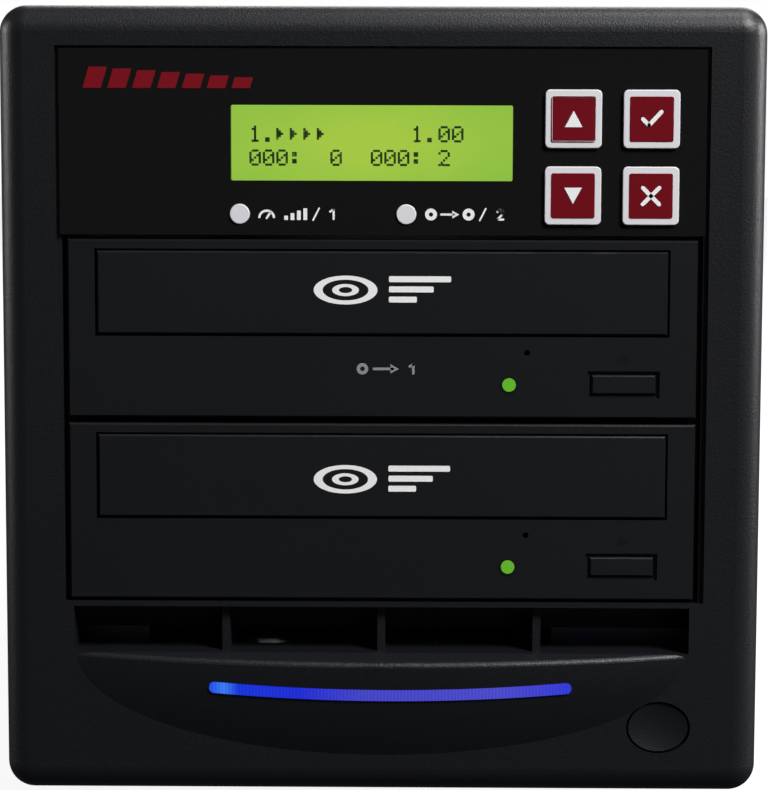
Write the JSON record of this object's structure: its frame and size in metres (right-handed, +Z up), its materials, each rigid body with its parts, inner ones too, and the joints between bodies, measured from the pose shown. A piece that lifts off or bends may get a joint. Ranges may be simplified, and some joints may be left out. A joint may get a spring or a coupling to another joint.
{
  "type": "disc duplicator tower",
  "caption": "Small black tower that copies discs: moulded bezel with control panel, display and keys over two tray-loading disc drives, steel case, power supply and rear fan.",
  "frame": {"origin": "on the ground under the middle of the tower's bounding box", "axes": "+X to the right seen from the front, +Y into the tower from front to back, +Z up"},
  "size_m": [0.18, 0.3445, 0.1895],
  "materials": {
    "bezel_abs": "fine-grained black moulded ABS",
    "drive_abs": "satin black moulded ABS",
    "panel_acrylic": "black silk-screened acrylic",
    "window_acrylic": "clear acrylic over a green display",
    "lcd_glass": "lit yellow-green display",
    "key_white": "white caps with red fields",
    "light_bar_acrylic": "lit blue acrylic",
    "led_green": "lit green lens",
    "inner_plastic": "black moulded plastic",
    "gear_pom": "white acetal",
    "turntable_alu": "turned",
    "circuit_board": "green solder mask",
    "zinc_steel": "zinc-plated sheet",
    "cover_paint": "black powder coat",
    "foot_rubber": "black rubber",
    "screw_steel": "nickel-plated",
    "guard_chrome": "chromed wire",
    "data_cable": "red jacket",
    "power_cable": "black sleeved bundle"
  },
  "bodies": {
    "tower": {"front_bezel": "bezel_abs", "light_bar": "light_bar_acrylic", "light_bar_board": "circuit_board", "power_switch": "inner_plastic", "control_panel": "panel_acrylic", "display_window": "window_acrylic", "lcd_module": "lcd_glass", "controller_board": "circuit_board", "chassis": "zinc_steel", "cover": "cover_paint", "drive_cage": "zinc_steel", "feet": "foot_rubber", "machine_screws": "screw_steel", "psu_case": "zinc_steel", "psu_board": "circuit_board", "mains_inlet": "inner_plastic", "fan_frames": "inner_plastic", "fan_guards": "guard_chrome", "data_cables": "data_cable", "power_harness": "power_cable", "status_lenses": "led_green", "disc_clampers": "inner_plastic", "drive_boards": "circuit_board", "source_drive_bezel": "drive_abs", "source_drive_cover": "zinc_steel", "source_drive_base": "zinc_steel", "source_loader_frame": "inner_plastic", "target_drive_bezel": "drive_abs", "target_drive_cover": "zinc_steel", "target_drive_base": "zinc_steel", "target_loader_frame": "inner_plastic"},
    "source_tray": {"source_tray": "drive_abs", "source_tray_door": "drive_abs"},
    "source_eject_button": {"source_eject_button": "drive_abs"},
    "source_lift_deck": {"source_lift_deck": "inner_plastic"},
    "source_turntable": {"source_turntable": "turntable_alu"},
    "source_pickup": {"source_pickup": "inner_plastic"},
    "source_lead_screw": {"source_lead_screw": "screw_steel"},
    "source_loading_gear": {"source_loading_gear": "gear_pom"},
    "source_cam_slider": {"source_cam_slider": "gear_pom"},
    "target_tray": {"target_tray": "drive_abs", "target_tray_door": "drive_abs"},
    "target_eject_button": {"target_eject_button": "drive_abs"},
    "target_lift_deck": {"target_lift_deck": "inner_plastic"},
    "target_turntable": {"target_turntable": "turntable_alu"},
    "target_pickup": {"target_pickup": "inner_plastic"},
    "target_lead_screw": {"target_lead_screw": "screw_steel"},
    "target_loading_gear": {"target_loading_gear": "gear_pom"},
    "target_cam_slider": {"target_cam_slider": "gear_pom"},
    "key_up": {"key_up": "key_white"},
    "key_down": {"key_down": "key_white"},
    "key_enter": {"key_enter": "key_white"},
    "key_escape": {"key_escape": "key_white"},
    "key_speed": {"key_speed": "key_white"},
    "key_source": {"key_source": "key_white"},
    "power_button": {"power_button": "bezel_abs"},
    "case_fan_rotor": {"case_fan_rotor": "inner_plastic"},
    "psu_fan_rotor": {"psu_fan_rotor": "inner_plastic"},
    "mains_rocker": {"mains_rocker": "inner_plastic"}
  },
  "joints": [
    {"name": "source_tray_slide", "type": "slide", "parent": "tower", "child": "source_tray", "axis": [0, -1, 0], "range_m": [0, 0.132]},
    {"name": "source_loading_gear_turn", "type": "hinge", "parent": "tower", "child": "source_loading_gear", "pos_m": [-0.048, -0.14895, 0.1129], "axis": [0, 0, 1], "range_deg": [-760, 5]},
    {"name": "source_eject_press", "type": "slide", "parent": "tower", "child": "source_eject_button", "axis": [0, 1, 0], "range_m": [0, 0.001], "stiffness_N_per_m": 600, "springref_m": -0.001},
    {"name": "source_deck_lift", "type": "hinge", "parent": "tower", "child": "source_lift_deck", "pos_m": [0, -0.01795, 0.106], "axis": [1, 0, 0], "range_deg": [0, 3.5]},
    {"name": "source_cam_slide", "type": "slide", "parent": "tower", "child": "source_cam_slider", "axis": [-1, 0, 0], "range_m": [0, 0.0201]},
    {"name": "source_turntable_spin", "type": "hinge", "parent": "source_lift_deck", "child": "source_turntable", "pos_m": [0, -0.09995, 0.1182], "axis": [0, 0, 1], "continuous": true},
    {"name": "source_pickup_slide", "type": "slide", "parent": "source_lift_deck", "child": "source_pickup", "axis": [0, 1, 0], "range_m": [0, 0.032]},
    {"name": "source_lead_screw_turn", "type": "hinge", "parent": "source_lift_deck", "child": "source_lead_screw", "pos_m": [0.033, -0.02345, 0.111], "axis": [0, 1, 0], "range_deg": [-3842, 2]},
    {"name": "target_tray_slide", "type": "slide", "parent": "tower", "child": "target_tray", "axis": [0, -1, 0], "range_m": [0, 0.132]},
    {"name": "target_loading_gear_turn", "type": "hinge", "parent": "tower", "child": "target_loading_gear", "pos_m": [-0.048, -0.14895, 0.0694], "axis": [0, 0, 1], "range_deg": [-760, 5]},
    {"name": "target_eject_press", "type": "slide", "parent": "tower", "child": "target_eject_button", "axis": [0, 1, 0], "range_m": [0, 0.001], "stiffness_N_per_m": 600, "springref_m": -0.001},
    {"name": "target_deck_lift", "type": "hinge", "parent": "tower", "child": "target_lift_deck", "pos_m": [0, -0.01795, 0.0625], "axis": [1, 0, 0], "range_deg": [0, 3.5]},
    {"name": "target_cam_slide", "type": "slide", "parent": "tower", "child": "target_cam_slider", "axis": [-1, 0, 0], "range_m": [0, 0.0201]},
    {"name": "target_turntable_spin", "type": "hinge", "parent": "target_lift_deck", "child": "target_turntable", "pos_m": [0, -0.09995, 0.0747], "axis": [0, 0, 1], "continuous": true},
    {"name": "target_pickup_slide", "type": "slide", "parent": "target_lift_deck", "child": "target_pickup", "axis": [0, 1, 0], "range_m": [0, 0.032]},
    {"name": "target_lead_screw_turn", "type": "hinge", "parent": "target_lift_deck", "child": "target_lead_screw", "pos_m": [0.033, -0.02345, 0.0675], "axis": [0, 1, 0], "range_deg": [-3842, 2]},
    {"name": "key_up_press", "type": "slide", "parent": "tower", "child": "key_up", "axis": [0, 1, 0], "range_m": [0, 0.0005], "stiffness_N_per_m": 1200, "springref_m": -0.0005},
    {"name": "key_down_press", "type": "slide", "parent": "tower", "child": "key_down", "axis": [0, 1, 0], "range_m": [0, 0.0005], "stiffness_N_per_m": 1200, "springref_m": -0.0005},
    {"name": "key_enter_press", "type": "slide", "parent": "tower", "child": "key_enter", "axis": [0, 1, 0], "range_m": [0, 0.0005], "stiffness_N_per_m": 1200, "springref_m": -0.0005},
    {"name": "key_escape_press", "type": "slide", "parent": "tower", "child": "key_escape", "axis": [0, 1, 0], "range_m": [0, 0.0005], "stiffness_N_per_m": 1200, "springref_m": -0.0005},
    {"name": "key_speed_press", "type": "slide", "parent": "tower", "child": "key_speed", "axis": [0, 1, 0], "range_m": [0, 0.0005], "stiffness_N_per_m": 1200, "springref_m": -0.0005},
    {"name": "key_source_press", "type": "slide", "parent": "tower", "child": "key_source", "axis": [0, 1, 0], "range_m": [0, 0.0005], "stiffness_N_per_m": 1200, "springref_m": -0.0005},
    {"name": "power_button_press", "type": "slide", "parent": "tower", "child": "power_button", "axis": [0, 1, 0], "range_m": [0, 0.002], "stiffness_N_per_m": 500, "springref_m": -0.002},
    {"name": "case_fan_spin", "type": "hinge", "parent": "tower", "child": "case_fan_rotor", "pos_m": [0, 0.15175, 0.139], "axis": [0, 1, 0], "continuous": true},
    {"name": "psu_fan_spin", "type": "hinge", "parent": "tower", "child": "psu_fan_rotor", "pos_m": [-0.024, 0.15175, 0.05], "axis": [0, 1, 0], "continuous": true},
    {"name": "mains_rocker_tip", "type": "hinge", "parent": "tower", "child": "mains_rocker", "pos_m": [0.05, 0.16265, 0.0625], "axis": [1, 0, 0], "range_deg": [0, 16]}
  ],
  "couplings": [
    {"joint": "source_loading_gear_turn", "follows": "source_tray_slide", "rad_per_m": -100},
    {"joint": "source_cam_slide", "follows": "source_deck_lift", "m_per_rad": 0.3274},
    {"joint": "source_lead_screw_turn", "follows": "source_pickup_slide", "rad_per_m": -2094.4},
    {"joint": "target_loading_gear_turn", "follows": "target_tray_slide", "rad_per_m": -100},
    {"joint": "target_cam_slide", "follows": "target_deck_lift", "m_per_rad": 0.3274},
    {"joint": "target_lead_screw_turn", "follows": "target_pickup_slide", "rad_per_m": -2094.4}
  ]
}
